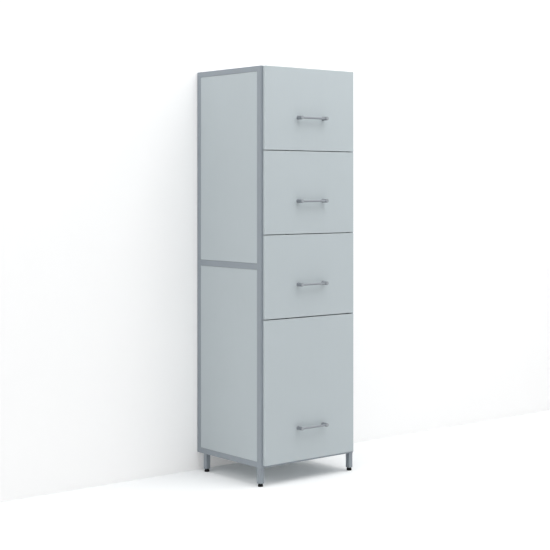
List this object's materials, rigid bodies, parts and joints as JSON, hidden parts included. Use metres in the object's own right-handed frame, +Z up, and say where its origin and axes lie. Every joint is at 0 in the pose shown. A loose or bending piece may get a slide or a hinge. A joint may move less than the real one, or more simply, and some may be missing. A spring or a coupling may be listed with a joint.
{
  "type": "laboratory storage cabinet with drawers",
  "caption": "Tall storage cabinet on a square-tube frame, with laminate side panels and pull-out drawers with bar handles.",
  "frame": {"origin": "on the floor, at the middle of the outer box in X and Y", "axes": "+Z up, -Y out of the drawer fronts, +X to the right seen from the back"},
  "size_m": [0.6, 0.5666, 2.014],
  "materials": {
    "frame_paint": "grey powder coat, fine satin texture",
    "laminate": "pale blue-grey melamine-faced board with edging of the same colour",
    "tray_paint": "pale grey powder coat on folded sheet steel",
    "handle_metal": "satin grey metal",
    "zinc": "zinc-plated cold-rolled steel",
    "foot_plastic": "black moulded plastic",
    "plug_plastic": "grey moulded nylon"
  },
  "bodies": {
    "cabinet": {"side_frame_left": "frame_paint", "side_frame_right": "frame_paint", "front_bottom_rail": "frame_paint", "front_top_rail": "frame_paint", "rear_bottom_rail": "frame_paint", "rear_middle_rail": "frame_paint", "rear_top_rail": "frame_paint", "side_panel_lower_left": "laminate", "side_panel_lower_right": "laminate", "side_panel_upper_left": "laminate", "side_panel_upper_right": "laminate", "back_panel_lower": "laminate", "back_panel_upper": "laminate", "top_panel": "laminate", "bottom_panel": "laminate", "leg_plug_front_left": "plug_plastic", "leg_plug_front_right": "plug_plastic", "leg_plug_rear_left": "plug_plastic", "leg_plug_rear_right": "plug_plastic", "runner_outer_1_left": "zinc", "runner_outer_1_right": "zinc", "runner_outer_2_left": "zinc", "runner_outer_2_right": "zinc", "runner_outer_3_left": "zinc", "runner_outer_3_right": "zinc", "runner_outer_4_left": "zinc", "runner_outer_4_right": "zinc"},
    "drawer_1": {"drawer_front_1": "laminate", "drawer_tray_1": "tray_paint", "drawer_handle_1": "handle_metal", "runner_inner_1_left": "zinc", "runner_inner_1_right": "zinc"},
    "drawer_2": {"drawer_front_2": "laminate", "drawer_tray_2": "tray_paint", "drawer_handle_2": "handle_metal", "runner_inner_2_left": "zinc", "runner_inner_2_right": "zinc"},
    "drawer_3": {"drawer_front_3": "laminate", "drawer_tray_3": "tray_paint", "drawer_handle_3": "handle_metal", "runner_inner_3_left": "zinc", "runner_inner_3_right": "zinc"},
    "drawer_4": {"drawer_front_4": "laminate", "drawer_tray_4": "tray_paint", "drawer_handle_4": "handle_metal", "runner_inner_4_left": "zinc", "runner_inner_4_right": "zinc"},
    "middle_members_1": {"runner_middle_1_left": "zinc", "runner_middle_1_right": "zinc"},
    "middle_members_2": {"runner_middle_2_left": "zinc", "runner_middle_2_right": "zinc"},
    "middle_members_3": {"runner_middle_3_left": "zinc", "runner_middle_3_right": "zinc"},
    "middle_members_4": {"runner_middle_4_left": "zinc", "runner_middle_4_right": "zinc"},
    "foot_front_left": {"levelling_foot_front_left": "foot_plastic"},
    "foot_front_right": {"levelling_foot_front_right": "foot_plastic"},
    "foot_rear_left": {"levelling_foot_rear_left": "foot_plastic"},
    "foot_rear_right": {"levelling_foot_rear_right": "foot_plastic"}
  },
  "joints": [
    {"name": "drawer_1_slide", "type": "slide", "parent": "cabinet", "child": "drawer_1", "axis": [0, -1, 0], "range_m": [0, 0.5]},
    {"name": "drawer_2_slide", "type": "slide", "parent": "cabinet", "child": "drawer_2", "axis": [0, -1, 0], "range_m": [0, 0.5]},
    {"name": "drawer_3_slide", "type": "slide", "parent": "cabinet", "child": "drawer_3", "axis": [0, -1, 0], "range_m": [0, 0.5]},
    {"name": "drawer_4_slide", "type": "slide", "parent": "cabinet", "child": "drawer_4", "axis": [0, -1, 0], "range_m": [0, 0.5]},
    {"name": "middle_1_slide", "type": "slide", "parent": "cabinet", "child": "middle_members_1", "axis": [0, -1, 0], "range_m": [0, 0.25]},
    {"name": "middle_2_slide", "type": "slide", "parent": "cabinet", "child": "middle_members_2", "axis": [0, -1, 0], "range_m": [0, 0.25]},
    {"name": "middle_3_slide", "type": "slide", "parent": "cabinet", "child": "middle_members_3", "axis": [0, -1, 0], "range_m": [0, 0.25]},
    {"name": "middle_4_slide", "type": "slide", "parent": "cabinet", "child": "middle_members_4", "axis": [0, -1, 0], "range_m": [0, 0.25]},
    {"name": "foot_front_left_turn", "type": "hinge", "parent": "cabinet", "child": "foot_front_left", "pos_m": [-0.2875, -0.21425, 0], "axis": [0, 0, 1], "continuous": true},
    {"name": "foot_front_right_turn", "type": "hinge", "parent": "cabinet", "child": "foot_front_right", "pos_m": [0.2875, -0.21425, 0], "axis": [0, 0, 1], "continuous": true},
    {"name": "foot_rear_left_turn", "type": "hinge", "parent": "cabinet", "child": "foot_rear_left", "pos_m": [-0.2875, 0.21675, 0], "axis": [0, 0, 1], "continuous": true},
    {"name": "foot_rear_right_turn", "type": "hinge", "parent": "cabinet", "child": "foot_rear_right", "pos_m": [0.2875, 0.21675, 0], "axis": [0, 0, 1], "continuous": true}
  ],
  "couplings": [
    {"joint": "middle_1_slide", "follows": "drawer_1_slide", "ratio": 0.5},
    {"joint": "middle_2_slide", "follows": "drawer_2_slide", "ratio": 0.5},
    {"joint": "middle_3_slide", "follows": "drawer_3_slide", "ratio": 0.5},
    {"joint": "middle_4_slide", "follows": "drawer_4_slide", "ratio": 0.5}
  ]
}
